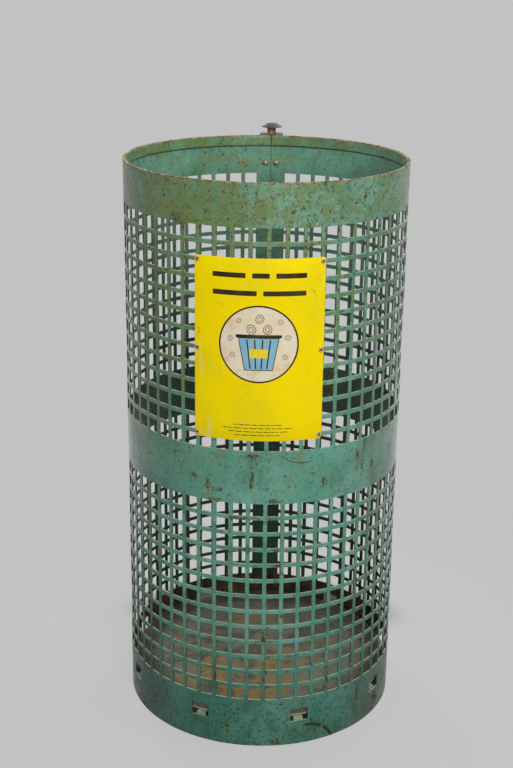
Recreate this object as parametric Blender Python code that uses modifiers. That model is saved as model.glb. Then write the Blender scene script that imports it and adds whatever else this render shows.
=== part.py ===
"""Perforated sheet-steel litter basket: a rolled drum of square-hole sheet with a loose floor plate.

The origin is on the ground, in the middle of the footprint. +Z is up, the sign faces -Y, and the
drum's butt seam is at the back, on +Y. Angles round the drum are "turns": 0 at the front, positive
towards +X. Everything is in metres.
"""
import math

import bmesh
import bpy
from mathutils import Matrix, Vector

INCH = 0.0254
GAP = 0.0003  # between pieces that touch

# The perforated sheet: square holes on a square pitch, rolled into a drum.
HOLE_PITCH = 1.0 * INCH
HOLE_SIDE = 0.75 * INCH
HOLE_COLUMNS = 51
HOLE_ROWS = 13  # in each of the two hole zones
PITCH_TURN = math.radians(6.845)  # one hole pitch, as an angle round the drum
DRUM_R = HOLE_PITCH / PITCH_TURN  # outside radius
SHEET = 0.0020
LOWER_ZONE_Z = 3.22 * INCH  # bottom edge of the first hole row
BLANK_ROWS = 3  # rows left unpunched between the two zones
UPPER_ZONE_Z = LOWER_ZONE_Z + (HOLE_ROWS + BLANK_ROWS) * HOLE_PITCH
DRUM_H = 34.40 * INCH

# One window in this solid stands for a block of real holes: so many columns by so many rows.
COLUMN_GROUPS = [2] * 12 + [3] + [2] * 12
ROW_GROUPS = [1, 2, 3, 2, 3, 2]
WIDE_GROUP = 3  # a window this many holes wide gets a corner of the polygon at its middle too

# Slots lanced through the bottom band, each with a tongue bent in under the floor plate.
SLOT_COUNT = 8
SLOT_W = 1.12 * INCH
SLOT_Z = (1.58 * INCH, 2.44 * INCH)
SLOT_FIRST_TURN = math.radians(-149.9)
SLOT_STEP_TURN = math.radians(42.2)
TONGUE_W = 0.58 * INCH
TONGUE_REACH = 0.016  # inwards from the drum's inner face
TONGUE_BEND = 0.004  # where the tongue turns level, inwards from the inner face

FLOOR_TOP = 0.0490
FLOOR_T = 0.0032
FLOOR_R = 0.2055

# Flat-bar hoop round the inside of the rim, in two lengths that meet at the seam.
HOOP_H = 0.016
HOOP_T = 0.0027
HOOP_JOINT_TURN = math.radians(-130.2)
HOOP_END_GAP = 0.0005

SIGN_W = 7.36 * INCH
SIGN_T = 0.0010
SIGN_Z = (19.86 * INCH, 30.33 * INCH)
SIGN_R = DRUM_R + GAP  # inner face

# Blind rivets that hold the sign, on bar crossings.
SIGN_RIVET_TURN = 3.5 * PITCH_TURN
SIGN_RIVET_ROWS = {"low": 1, "mid": 6, "top": 11}  # after so many hole rows of the upper zone
RIVET_R = 0.0020
RIVET_FLANGE_R = 0.0040
RIVET_FLANGE_T = 0.0012
RIVET_TAIL_R = 0.0031
RIVET_TAIL_LENGTH = 0.0027
STEM_R = 0.0011
STEM_HEAD_R = 0.0020
STEM_HEAD_T = 0.0007
ROUND_SMALL = 12  # sides of small turned pieces

# Angle bracket on the seam, outside, with its two rivets.
BRACKET_W = 1.49 * INCH
BRACKET_T = 0.0025
BRACKET_DROP = 0.060  # height of the leg that lies on the drum
BRACKET_REACH = 0.0262  # from the drum to the edge of the level leg
BRACKET_TOP = DRUM_H + 0.0006
BRACKET_RIVET_X = 0.0087
BRACKET_RIVET_Z = DRUM_H - 0.0445
BRACKET_RIVET_R = 0.0030
BRACKET_RIVET_HEAD_R = 0.0060
BRACKET_RIVET_HEAD_T = 0.0030

# Cone-headed shoulder stud on the bracket.
STUD_Y = DRUM_R + 0.0114  # from the drum's axis
STUD_NECK_R = 0.0075
STUD_NECK_H = 0.0115
STUD_HEAD_R = 0.0171
STUD_HEAD_TOP_R = 0.0097
STUD_HEAD_LIP = 0.0008
STUD_HEAD_H = 0.0055
STUD_SHANK_R = 0.0040
STUD_TAIL = 0.0025  # shank past the nut
NUT_FLATS = 0.0127
NUT_H = 0.0068
LOCK_WASHER_T = 0.0018
LOCK_WASHER_R = 0.0068
ROUND_STUD = 24

FRONT_REACH = SIGN_R + SIGN_T
BACK_REACH = STUD_Y + STUD_HEAD_R
AXIS_Y = (FRONT_REACH - BACK_REACH) / 2  # puts the footprint's middle on the origin


# ---------------------------------------------------------------- scene, collections, materials

for old in list(bpy.data.objects):
    bpy.data.objects.remove(old, do_unlink=True)

PARTS = bpy.data.collections.new("litter_bin")
CUTTERS = bpy.data.collections.new("cutters")
bpy.context.scene.collection.children.link(PARTS)
bpy.context.scene.collection.children.link(CUTTERS)

drum_axis = bpy.data.objects.new("drum_axis", None)
drum_axis.location = (0, AXIS_Y, 0)
PARTS.objects.link(drum_axis)


def material(name, colour, roughness, metallic):
    made = bpy.data.materials.new(name)
    made.use_nodes = True
    shader = made.node_tree.nodes["Principled BSDF"]
    shader.inputs["Base Color"].default_value = (*colour, 1)
    shader.inputs["Roughness"].default_value = roughness
    shader.inputs["Metallic"].default_value = metallic
    return made


GREEN_PAINT = material("green_paint", (0.08, 0.20, 0.14), 0.55, 0.0)
HOOP_PAINT = material("hoop_paint", (0.13, 0.26, 0.18), 0.55, 0.0)
RUSTY_PLATE = material("rusty_plate", (0.22, 0.13, 0.08), 0.80, 0.2)
SIGN_ENAMEL = material("sign_enamel", (0.86, 0.72, 0.02), 0.35, 0.0)
RIVET_ALLOY = material("rivet_alloy", (0.65, 0.55, 0.42), 0.45, 0.8)
STEM_STEEL = material("stem_steel", (0.12, 0.05, 0.03), 0.75, 0.4)
WORN_STEEL = material("worn_steel", (0.42, 0.37, 0.22), 0.60, 0.5)
RUSTY_STEEL = material("rusty_steel", (0.25, 0.10, 0.06), 0.80, 0.3)


# ---------------------------------------------------------------- shared ways to make a piece


def add_object(name, mesh, paint):
    """A named sub-part on the drum's axis, or a hidden guide if it has no paint."""
    made = bpy.data.objects.new(name, mesh)
    made.parent = drum_axis
    if paint:
        mesh.materials.append(paint)
        PARTS.objects.link(made)
    else:
        made.hide_render = True
        made.display_type = "WIRE"
        CUTTERS.objects.link(made)
    return made


def finish_mesh(bm, name):
    mesh = bpy.data.meshes.new(name)
    bm.to_mesh(mesh)
    bm.free()
    return mesh


def smooth_round(mesh):
    mesh.shade_smooth()
    mesh.set_sharp_from_angle(angle=math.radians(35))


def solidify(piece, thickness):
    """Thicken an open sheet inwards, away from its faces."""
    made = piece.modifiers.new("sheet", "SOLIDIFY")
    made.thickness = thickness
    made.offset = -1
    made.use_even_offset = True
    made.use_quality_normals = True


def boolean(piece, other, operation="DIFFERENCE"):
    made = piece.modifiers.new(other.name, "BOOLEAN")
    made.operation = operation
    made.object = other
    made.solver = "EXACT"


def turned(name, profile, sides, paint, closed=False):
    """A turned piece about its own Z axis. The (radius, height) profile runs down its outer side."""
    bm = bmesh.new()
    points = [bm.verts.new((radius, 0, height)) for radius, height in profile]
    for first, second in zip(points, points[1:]):
        bm.edges.new((first, second))
    if closed:
        bm.edges.new((points[-1], points[0]))
    mesh = finish_mesh(bm, name)
    piece = add_object(name, mesh, paint)
    screw = piece.modifiers.new("turn", "SCREW")
    screw.steps = sides
    screw.render_steps = sides
    screw.use_merge_vertices = True
    screw.merge_threshold = 0.00001
    screw.use_smooth_shade = True
    return piece


def cylinder(bm, radius, length, matrix, sides=ROUND_SMALL):
    bmesh.ops.create_cone(
        bm, cap_ends=True, segments=sides, radius1=radius, radius2=radius, depth=length, matrix=matrix
    )


def outward(turn, height):
    """A frame on the drum's axis at this height, whose Z axis points out of the drum at this turn."""
    across = Matrix.Rotation(turn, 4, "Z") @ Matrix.Rotation(math.radians(90), 4, "X")
    return Matrix.Translation((0, 0, height)) @ across


# ---------------------------------------------------------------- the drum's layout


def windows(groups, middle):
    """The (start, end) of each window along a run of hole pitches, in pitches."""
    spans = []
    start = middle - sum(groups) / 2
    open_share = HOLE_SIDE / HOLE_PITCH
    for count in groups:
        centre = start + count / 2
        half = count * open_share / 2
        spans.append((centre - half, centre + half))
        start += count
    return spans


COLUMN_WINDOWS = [
    (start * PITCH_TURN, end * PITCH_TURN) for start, end in windows(COLUMN_GROUPS, 0)
]


def row_windows(zone_z):
    middle = (HOLE_ROWS - 1 + HOLE_SIDE / HOLE_PITCH) / 2
    return [
        (zone_z + start * HOLE_PITCH, zone_z + end * HOLE_PITCH)
        for start, end in windows(ROW_GROUPS, middle)
    ]


ROW_WINDOWS = row_windows(LOWER_ZONE_Z) + row_windows(UPPER_ZONE_Z)

WALL_TURNS = [-math.pi]
for count, (start, end) in zip(COLUMN_GROUPS, COLUMN_WINDOWS):
    WALL_TURNS += [start, (start + end) / 2, end] if count >= WIDE_GROUP else [start, end]
WALL_TURNS.append(math.pi)
WALL_HEIGHTS = [0.0] + [edge for span in ROW_WINDOWS for edge in span] + [DRUM_H]


def on_facet(turn):
    """How far out the drum's flat facet lies at this turn, as a share of its corners' radius."""
    for first, second in zip(WALL_TURNS, WALL_TURNS[1:]):
        if first <= turn <= second:
            half = (second - first) / 2
            return math.cos(half) / math.cos(turn - first - half)
    return 1.0


def turns_between(start, end):
    """The drum's corners between two turns, with the two turns themselves."""
    return [start] + [turn for turn in WALL_TURNS if start + 1e-6 < turn < end - 1e-6] + [end]


def rolled_sheet(name, radius, turns, heights, paint, holes=()):
    """An open sheet bent to the drum's facets. Cells that lie inside a hole are left out."""
    bm = bmesh.new()
    across = len(turns) - 1
    up = len(heights) - 1
    bmesh.ops.create_grid(bm, x_segments=across, y_segments=up, size=1)
    if holes:
        column_spans, row_spans = holes
        gone = []
        for face in bm.faces:
            spot = face.calc_center_median()
            column = int((spot.x + 1) / 2 * across)
            row = int((spot.y + 1) / 2 * up)
            if (turns[column], turns[column + 1]) in column_spans and heights[row] in row_spans:
                gone.append(face)
        bmesh.ops.delete(bm, geom=gone, context="FACES")
    for vert in bm.verts:
        turn = turns[round((vert.co.x + 1) / 2 * across)]
        reach = radius * on_facet(turn)
        height = heights[round((vert.co.y + 1) / 2 * up)]
        vert.co = Vector((reach * math.sin(turn), -reach * math.cos(turn), height))
    bmesh.ops.remove_doubles(bm, verts=bm.verts, dist=0.00001)
    return add_object(name, finish_mesh(bm, name), paint)


# ---------------------------------------------------------------- cutters and the tongues


def slot_turns():
    return [SLOT_FIRST_TURN + SLOT_STEP_TURN * index for index in range(SLOT_COUNT)]


def slot_cutter():
    bm = bmesh.new()
    middle = (SLOT_Z[0] + SLOT_Z[1]) / 2
    for turn in slot_turns():
        place = outward(turn, middle) @ Matrix.Translation((0, 0, DRUM_R))
        size = Matrix.Diagonal((SLOT_W, SLOT_Z[1] - SLOT_Z[0], 10 * SHEET, 1))
        bmesh.ops.create_cube(bm, size=1, matrix=place @ size)
    return add_object("slot_cutter", finish_mesh(bm, "slot_cutter"), None)


def tongues():
    """Strips that rise from each slot's lower edge and turn level under the floor plate."""
    inner = DRUM_R - SHEET
    top = FLOOR_TOP - FLOOR_T - GAP
    path = [
        (inner - TONGUE_REACH, top),
        (inner - TONGUE_BEND, top),
        (DRUM_R - SHEET / 4, SLOT_Z[0] - SHEET / 4),
    ]
    bm = bmesh.new()
    for turn in slot_turns():
        place = outward(turn, 0)
        strip = bmesh.ops.create_grid(bm, x_segments=1, y_segments=len(path) - 1, size=1)["verts"]
        for vert in strip:
            reach, height = path[round((vert.co.y + 1) / 2 * (len(path) - 1))]
            vert.co = place @ Vector((-vert.co.x * TONGUE_W / 2, height, reach))
    made = add_object("tongues", finish_mesh(bm, "tongues"), None)
    solidify(made, SHEET)
    return made


def sign_rivet_places():
    for side, sign in (("left", -1), ("right", 1)):
        for level, rows in SIGN_RIVET_ROWS.items():
            height = UPPER_ZONE_Z + (rows - 1) * HOLE_PITCH + (HOLE_PITCH + HOLE_SIDE) / 2
            yield f"{level}_{side}", sign * SIGN_RIVET_TURN, height


def sign_rivet_cutter():
    bm = bmesh.new()
    for _, turn, height in sign_rivet_places():
        place = outward(turn, height) @ Matrix.Translation((0, 0, DRUM_R))
        cylinder(bm, RIVET_R + GAP, 10 * SHEET, place)
    return add_object("sign_rivet_cutter", finish_mesh(bm, "sign_rivet_cutter"), None)


def bracket_rivet_cutter():
    bm = bmesh.new()
    for side in (-1, 1):
        place = outward(math.pi, BRACKET_RIVET_Z)
        place = place @ Matrix.Translation((side * BRACKET_RIVET_X, 0, DRUM_R))
        cylinder(bm, BRACKET_RIVET_R + GAP, 10 * SHEET, place)
    return add_object("bracket_rivet_cutter", finish_mesh(bm, "bracket_rivet_cutter"), None)


def stud_cutter():
    bm = bmesh.new()
    cylinder(bm, STUD_SHANK_R + GAP, 0.04, Matrix.Translation((0, STUD_Y, BRACKET_TOP)), ROUND_STUD)
    return add_object("stud_cutter", finish_mesh(bm, "stud_cutter"), None)


SLOT_CUTTER = slot_cutter()
TONGUES = tongues()
SIGN_RIVET_CUTTER = sign_rivet_cutter()
BRACKET_RIVET_CUTTER = bracket_rivet_cutter()
STUD_CUTTER = stud_cutter()


# ---------------------------------------------------------------- the sub-parts


def make_body_shell():
    row_starts = [start for start, _ in ROW_WINDOWS]
    cells = []
    for start, end in COLUMN_WINDOWS:
        inside = turns_between(start, end)
        cells += list(zip(inside, inside[1:]))
    shell = rolled_sheet(
        "body_shell", DRUM_R, WALL_TURNS, WALL_HEIGHTS, GREEN_PAINT, (cells, row_starts)
    )
    solidify(shell, SHEET)
    boolean(shell, SLOT_CUTTER)
    boolean(shell, TONGUES, "UNION")
    boolean(shell, SIGN_RIVET_CUTTER)
    boolean(shell, BRACKET_RIVET_CUTTER)


def make_rim_hoops():
    widest = max(end - start for start, end in zip(WALL_TURNS, WALL_TURNS[1:]))
    radius = DRUM_R - (SHEET + GAP) / math.cos(widest / 2)
    half_gap = HOOP_END_GAP / 2 / radius
    lengths = {
        "rim_hoop_short": (-math.pi + half_gap, HOOP_JOINT_TURN - half_gap),
        "rim_hoop_long": (HOOP_JOINT_TURN + half_gap, math.pi - half_gap),
    }
    for name, ends in lengths.items():
        hoop = rolled_sheet(name, radius, turns_between(*ends), [DRUM_H - HOOP_H, DRUM_H], HOOP_PAINT)
        solidify(hoop, HOOP_T)


def make_floor_plate():
    bm = bmesh.new()
    cylinder(bm, FLOOR_R, FLOOR_T, Matrix.Identity(4), 64)
    mesh = finish_mesh(bm, "floor_plate")
    smooth_round(mesh)
    plate = add_object("floor_plate", mesh, RUSTY_PLATE)
    plate.location = (0, 0, FLOOR_TOP - FLOOR_T / 2)


def make_sign_plate():
    half = SIGN_W / 2 / SIGN_R
    sign = rolled_sheet("sign_plate", SIGN_R + SIGN_T, turns_between(-half, half), SIGN_Z, SIGN_ENAMEL)
    solidify(sign, SIGN_T)
    boolean(sign, SIGN_RIVET_CUTTER)


def make_sign_rivets():
    """Hollow blind rivets, each with the broken-off stem that set it. Heights are along each axis."""
    face = SIGN_R + SIGN_T + GAP
    tail = DRUM_R - SHEET - 2 * GAP
    bore = STEM_R + GAP
    sleeve = [
        (bore, face + RIVET_FLANGE_T),
        (RIVET_FLANGE_R * 0.7, face + RIVET_FLANGE_T),
        (RIVET_FLANGE_R, face + RIVET_FLANGE_T / 3),
        (RIVET_FLANGE_R, face),
        (RIVET_R, face),
        (RIVET_R, tail),
        (RIVET_TAIL_R, tail - RIVET_TAIL_LENGTH / 4),
        (RIVET_TAIL_R, tail - RIVET_TAIL_LENGTH * 3 / 4),
        (RIVET_R, tail - RIVET_TAIL_LENGTH),
        (bore, tail - RIVET_TAIL_LENGTH),
    ]
    head = tail - RIVET_TAIL_LENGTH - GAP
    stem = [
        (0, face + RIVET_FLANGE_T / 2),
        (STEM_R, face + RIVET_FLANGE_T / 2),
        (STEM_R, head),
        (STEM_HEAD_R, head),
        (STEM_HEAD_R, head - STEM_HEAD_T),
        (0, head - STEM_HEAD_T),
    ]
    for place, turn, height in sign_rivet_places():
        rivet = turned(f"sign_rivet_{place}", sleeve, ROUND_SMALL, RIVET_ALLOY, closed=True)
        rivet.matrix_local = outward(turn, height)
        pin = turned(f"sign_rivet_stem_{place}", stem, ROUND_SMALL, STEM_STEEL)
        pin.matrix_local = outward(turn, height)


def make_stud_bracket():
    """A bent strip: a leg down the seam and a level leg at the rim, drilled for stud and rivets."""
    wall = DRUM_R + GAP
    path = [
        (wall + BRACKET_T, BRACKET_TOP - BRACKET_DROP),
        (wall + BRACKET_T, BRACKET_TOP - BRACKET_T),
        (wall + BRACKET_REACH, BRACKET_TOP - BRACKET_T),
    ]
    bm = bmesh.new()
    bmesh.ops.create_grid(bm, x_segments=1, y_segments=len(path) - 1, size=1)
    for vert in bm.verts:
        reach, height = path[round((vert.co.y + 1) / 2 * (len(path) - 1))]
        vert.co = Vector((-vert.co.x * BRACKET_W / 2, reach, height))
    bracket = add_object("stud_bracket", finish_mesh(bm, "stud_bracket"), GREEN_PAINT)
    solidify(bracket, BRACKET_T)
    boolean(bracket, BRACKET_RIVET_CUTTER)
    boolean(bracket, STUD_CUTTER)


def make_bracket_rivets():
    """Solid round-head rivets through the drum and the bracket. Heights are along each axis."""
    outer = DRUM_R + 2 * GAP + BRACKET_T
    seam_facet = (math.pi - COLUMN_WINDOWS[-1][1]) / 2  # how far the wall leans away beside the seam
    lean = (BRACKET_RIVET_X + BRACKET_RIVET_HEAD_R) * math.tan(seam_facet)
    inner = DRUM_R - SHEET - lean - GAP
    dome = BRACKET_RIVET_HEAD_T
    radius = BRACKET_RIVET_HEAD_R
    steps = (20, 45, 70)
    outer_dome = [
        (radius * math.sin(math.radians(step)), outer + dome * math.cos(math.radians(step)))
        for step in steps
    ]
    inner_dome = [
        (radius * math.sin(math.radians(step)), inner - dome * math.cos(math.radians(step)))
        for step in reversed(steps)
    ]
    profile = [(0, outer + dome)] + outer_dome + [(radius, outer), (BRACKET_RIVET_R, outer)]
    profile += [(BRACKET_RIVET_R, inner), (radius, inner)] + inner_dome + [(0, inner - dome)]
    for side, sign in (("left", 1), ("right", -1)):
        rivet = turned(f"bracket_rivet_{side}", profile, ROUND_SMALL, WORN_STEEL)
        place = outward(math.pi, BRACKET_RIVET_Z)
        rivet.matrix_local = place @ Matrix.Translation((sign * BRACKET_RIVET_X, 0, 0))


def make_stud():
    """The stud, and the lock washer and nut that hold it under the bracket's level leg."""
    seat = BRACKET_TOP + GAP
    head = BRACKET_TOP + STUD_NECK_H
    under = BRACKET_TOP - BRACKET_T - GAP
    nut_top = under - LOCK_WASHER_T - GAP
    profile = [
        (0, head + STUD_HEAD_H),
        (STUD_HEAD_TOP_R, head + STUD_HEAD_H),
        (STUD_HEAD_R, head + STUD_HEAD_LIP),
        (STUD_HEAD_R, head),
        (STUD_NECK_R, head),
        (STUD_NECK_R, seat),
        (STUD_SHANK_R, seat),
        (STUD_SHANK_R, nut_top - NUT_H - STUD_TAIL),
        (0, nut_top - NUT_H - STUD_TAIL),
    ]
    stud = turned("lid_stud", profile, ROUND_STUD, RUSTY_STEEL)
    stud.location = (0, STUD_Y, 0)

    ring = [
        (STUD_SHANK_R + GAP, under),
        (LOCK_WASHER_R, under),
        (LOCK_WASHER_R, under - LOCK_WASHER_T),
        (STUD_SHANK_R + GAP, under - LOCK_WASHER_T),
    ]
    washer = turned("stud_lock_washer", ring, ROUND_STUD, RUSTY_STEEL, closed=True)
    washer.location = (0, STUD_Y, 0)

    bm = bmesh.new()
    corner_r = NUT_FLATS / 2 / math.cos(math.radians(30))
    cylinder(bm, corner_r, NUT_H, Matrix.Identity(4), 6)
    nut = add_object("stud_nut", finish_mesh(bm, "stud_nut"), RUSTY_STEEL)
    nut.location = (0, STUD_Y, nut_top - NUT_H / 2)
    boolean(nut, STUD_CUTTER)


make_body_shell()
make_rim_hoops()
make_floor_plate()
make_sign_plate()
make_sign_rivets()
make_stud_bracket()
make_bracket_rivets()
make_stud()
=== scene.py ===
"""Looks for the perforated litter basket: full lattice wall, weathered green paint, sign and rivets.

The pieces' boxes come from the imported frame, and the lattice and the slots repeat the CAD's sizes.
"Turns" are angles round the drum's axis: 0 at the front, which is -Y, and positive towards +X.
Everything is in metres.
"""

import math
import random

import bmesh
import bpy
from mathutils import Matrix, Vector, noise


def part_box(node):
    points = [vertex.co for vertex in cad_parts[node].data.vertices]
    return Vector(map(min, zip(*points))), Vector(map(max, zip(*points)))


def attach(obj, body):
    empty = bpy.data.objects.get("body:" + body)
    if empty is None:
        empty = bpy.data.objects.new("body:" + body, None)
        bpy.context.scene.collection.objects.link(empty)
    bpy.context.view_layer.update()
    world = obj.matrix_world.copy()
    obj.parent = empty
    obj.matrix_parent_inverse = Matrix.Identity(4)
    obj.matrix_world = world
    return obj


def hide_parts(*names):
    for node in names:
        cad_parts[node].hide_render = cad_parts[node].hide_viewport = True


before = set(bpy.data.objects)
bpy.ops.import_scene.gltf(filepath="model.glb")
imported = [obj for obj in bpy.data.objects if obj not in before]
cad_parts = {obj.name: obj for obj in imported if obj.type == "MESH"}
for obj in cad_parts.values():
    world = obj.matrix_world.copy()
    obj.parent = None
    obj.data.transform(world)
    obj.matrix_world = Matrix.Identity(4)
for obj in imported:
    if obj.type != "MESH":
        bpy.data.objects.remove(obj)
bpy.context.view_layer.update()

# ---------------------------------------------------------------- sizes

SHELL_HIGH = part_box("body_shell")[1]
FLOOR_LOW, FLOOR_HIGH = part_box("floor_plate")
SIGN_LOW, SIGN_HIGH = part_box("sign_plate")
HOOP_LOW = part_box("rim_hoop_long")[0]
AXIS_Y = (FLOOR_LOW.y + FLOOR_HIGH.y) / 2
DRUM_H = SHELL_HIGH.z
DRUM_R = SHELL_HIGH.x
SHEET = 0.0020
INNER_R = DRUM_R - SHEET

INCH = 0.0254
HOLE_PITCH = 1.0 * INCH
HOLE_SIDE = 0.75 * INCH
HOLE_HALF = HOLE_SIDE / HOLE_PITCH / 2  # in pitches
HOLE_COLUMNS = 51
HOLE_ROWS = 13
BLANK_ROWS = 3
PITCH_TURN = math.radians(6.845)
LOWER_ZONE_Z = 3.22 * INCH
UPPER_ZONE_Z = LOWER_ZONE_Z + (HOLE_ROWS + BLANK_ROWS) * HOLE_PITCH
SEAM_HALF_GAP = 0.0006 / DRUM_R
WALL_BEVEL = 0.00030
KNOCK = 0.0011  # how far knocks have pushed the lattice in, at most

SLOT_COUNT = 8
SLOT_W = 1.12 * INCH
SLOT_Z = (1.58 * INCH, 2.44 * INCH)
SLOT_FIRST_TURN = math.radians(-149.9)
SLOT_STEP_TURN = math.radians(42.2)
TONGUE_W = 0.58 * INCH
TONGUE_T = 0.0019
TONGUE_REACH = 0.015
TONGUE_BEND = 0.0045

HOOP_T = 0.0027
HOOP_JOINT_TURN = math.radians(-130.2)
HOOP_HALF_GAP = 0.0009

SIGN_MIDDLE_Z = (SIGN_LOW.z + SIGN_HIGH.z) / 2
SIGN_H = SIGN_HIGH.z - SIGN_LOW.z
SIGN_W = 7.36 * INCH
SIGN_T = 0.0009
SIGN_CORNER = 0.0035
SIGN_PLATE_R = AXIS_Y - SIGN_LOW.y - 0.00010  # the plate's face, just under the print
SIGN_RIVET_COLUMN = 3.5  # pitches from the front to the rivets at either side
PRINT_T = 0.00006
DISC_R = 2.22 * INCH
DISC_RING_W = 0.0024
PRINT_FACET = 0.004  # how often print is cut so that it bends with the sign

BRACKET_T = 0.0025
BRACKET_BEND = 0.003
BRACKET_CORNER = 0.005
RIVET_SHANK_R = 0.0030  # of the bracket's two rivets
RIVET_HEAD_R = 0.0059
NECK_R = 0.0075  # of the stud
SHANK_R = 0.0040  # of the stud, below the bracket's top
HEAD_H = 0.0055  # of the stud, from its lip to its top
BORE_R = 0.0043  # of the washer and the nut
NUT_CHAMFER = 0.0009


def spot(turn, radius, height):
    """A point given by its turn round the drum, its distance from the axis and its height."""
    return Vector((radius * math.sin(turn), AXIS_Y - radius * math.cos(turn), height))


def outward(turn, height, radius=0.0):
    """A frame at that place whose Z axis points out of the drum and whose Y axis points up."""
    across = Matrix.Rotation(turn, 4, "Z") @ Matrix.Rotation(math.radians(90), 4, "X")
    return Matrix.Translation(spot(turn, radius, height)) @ across


# ---------------------------------------------------------------- shader nodes


class Paint:
    """One material, with short ways to add its nodes and the colour built up so far."""

    def __init__(self, name, colour=None):
        self.material = bpy.data.materials.new(name)
        self.material.use_nodes = True
        self.tree = self.material.node_tree
        self.shader = self.tree.nodes["Principled BSDF"]
        self.place = self.node("ShaderNodeTexCoord", output="Object")
        self.colour = colour

    def node(self, kind, inputs=(), output=0, **settings):
        """Add a node and give one output. Inputs are in order, or in a dict by name or number."""
        made = self.tree.nodes.new(kind)
        for key, value in settings.items():
            setattr(made, key, value)
        for key, value in inputs.items() if isinstance(inputs, dict) else enumerate(inputs):
            self.feed(made.inputs[key], value)
        return made.outputs[output]

    def feed(self, socket, value):
        """Link an output to this input, or set the input to a plain value."""
        if isinstance(value, bpy.types.NodeSocket):
            self.tree.links.new(value, socket)
        elif isinstance(value, tuple) and len(value) == 3 and len(socket.default_value) == 4:
            socket.default_value = (*value, 1)
        else:
            socket.default_value = value

    def lay(self, colour, *shares, blend="MIX"):
        """Lay a colour over what is there, by the product of these shares."""
        self.colour = self.mix(self.times(*shares), self.colour, colour, blend)

    def finished(self, rough, normal=None, **plain):
        """The material, with its shader set from these and the colour built up."""
        self.feed(self.shader.inputs["Base Color"], self.colour)
        self.feed(self.shader.inputs["Roughness"], rough)
        if normal:
            self.feed(self.shader.inputs["Normal"], normal)
        for name, value in plain.items():
            self.shader.inputs[name.replace("_", " ")].default_value = value
        return self.material

    def calc(self, operation, *values):
        return self.node("ShaderNodeMath", values, operation=operation)

    def fold(self, operation, values):
        total = values[0]
        for value in values[1:]:
            total = self.calc(operation, total, value)
        return total

    def sum(self, *values):
        return self.fold("ADD", values)

    def times(self, *values):
        return self.fold("MULTIPLY", values)

    def greatest(self, *values):
        return self.fold("MAXIMUM", values)

    def flip(self, value):
        return self.calc("SUBTRACT", 1.0, value)

    def band(self, value, low, high, bottom=0.0, top=1.0):
        """Smoothly from bottom at low to top at high. Low may be above high."""
        given = {"Value": value, "From Min": low, "From Max": high, "To Min": bottom, "To Max": top}
        return self.node("ShaderNodeMapRange", given, "Result", interpolation_type="SMOOTHSTEP")

    def mix(self, share, first, second, blend="MIX"):
        given = {0: share, 6: first, 7: second}
        return self.node("ShaderNodeMix", given, 2, data_type="RGBA", blend_type=blend)

    def vector(self, operation, *values, output=0):
        return self.node("ShaderNodeVectorMath", values, output, operation=operation)

    def length(self, vector):
        return self.vector("LENGTH", vector, output="Value")

    def part(self, vector, index):
        return self.node("ShaderNodeSeparateXYZ", (vector,), index)

    def axis(self, index):
        return self.part(self.place, index)

    def mapped(self, scale, offset=(0, 0, 0), where=None):
        """The piece's own coordinates, or others, scaled on each axis and then moved."""
        given = {"Vector": where or self.place, "Location": offset, "Scale": scale}
        return self.node("ShaderNodeMapping", given, "Vector")

    def noise(self, scale, detail=3.0, rough=0.55, distort=0.0, where=None):
        given = {"Vector": where or self.place, "Scale": scale, "Detail": detail}
        given |= {"Roughness": rough, "Distortion": distort}
        return self.node("ShaderNodeTexNoise", given, "Fac")

    def streaks(self, scale, detail, rough, distort):
        """Noise with its own scale on each axis, drawn out where that is small."""
        return self.noise(1, detail, rough, distort, self.mapped(scale))

    def bump(self, height, depth, after=None):
        given = {"Distance": depth, "Height": height}
        if after:
            given["Normal"] = after
        return self.node("ShaderNodeBump", given, "Normal")

    def normal(self):
        return self.node("ShaderNodeNewGeometry", output="Normal")

    def facing_up(self):
        """1 where the surface faces up, 0 where it stands or faces down."""
        return self.band(self.part(self.normal(), 2), 0.35, 0.8)

    def outside(self):
        """1 on faces that look away from the drum's axis, 0 on its inside."""
        from_axis = self.vector("SUBTRACT", self.place, (0.0, AXIS_Y, 0.0))
        level = self.vector("MULTIPLY", from_axis, (1.0, 1.0, 0.0))
        return self.band(self.vector("DOT_PRODUCT", level, self.normal(), output="Value"), -0.02, 0.02)

    def unrolled(self):
        """The drum's surface laid flat: distance round it from the front, then height."""
        turn = self.calc("ARCTAN2", self.axis(0), self.calc("SUBTRACT", AXIS_Y, self.axis(1)))
        return self.node("ShaderNodeCombineXYZ", (self.times(turn, DRUM_R), self.axis(2)))

    def about(self, flat, turn, height, half_w=1.0, half_h=1.0):
        """Where a point on the laid-flat surface is from that place, in these half sizes."""
        offset = (-turn * DRUM_R / half_w, -height / half_h, 0.0)
        return self.mapped((1 / half_w, 1 / half_h, 1.0), offset, flat)

    def blot(self, flat, ragged, turn, height, half_w, half_h):
        """A ragged patch of this half width and half height on the drum, 1 in its middle."""
        far = self.sum(self.length(self.about(flat, turn, height, half_w, half_h)), ragged)
        return self.band(far, 1.60, 0.40)

    def scratch(self, flat, turn, height, radius, start, end, wide):
        """A curved scratch: part of a circle round that place, between two angles from level."""
        where = self.about(flat, turn, height)
        off = self.calc("ABSOLUTE", self.calc("SUBTRACT", self.length(where), radius))
        angle = self.calc("ARCTAN2", self.part(where, 1), self.part(where, 0))
        line = self.band(off, wide, wide * 0.3)
        begun = self.band(angle, start - 0.05, start + 0.10)
        return self.times(line, begun, self.band(angle, end + 0.05, end - 0.10))

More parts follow.
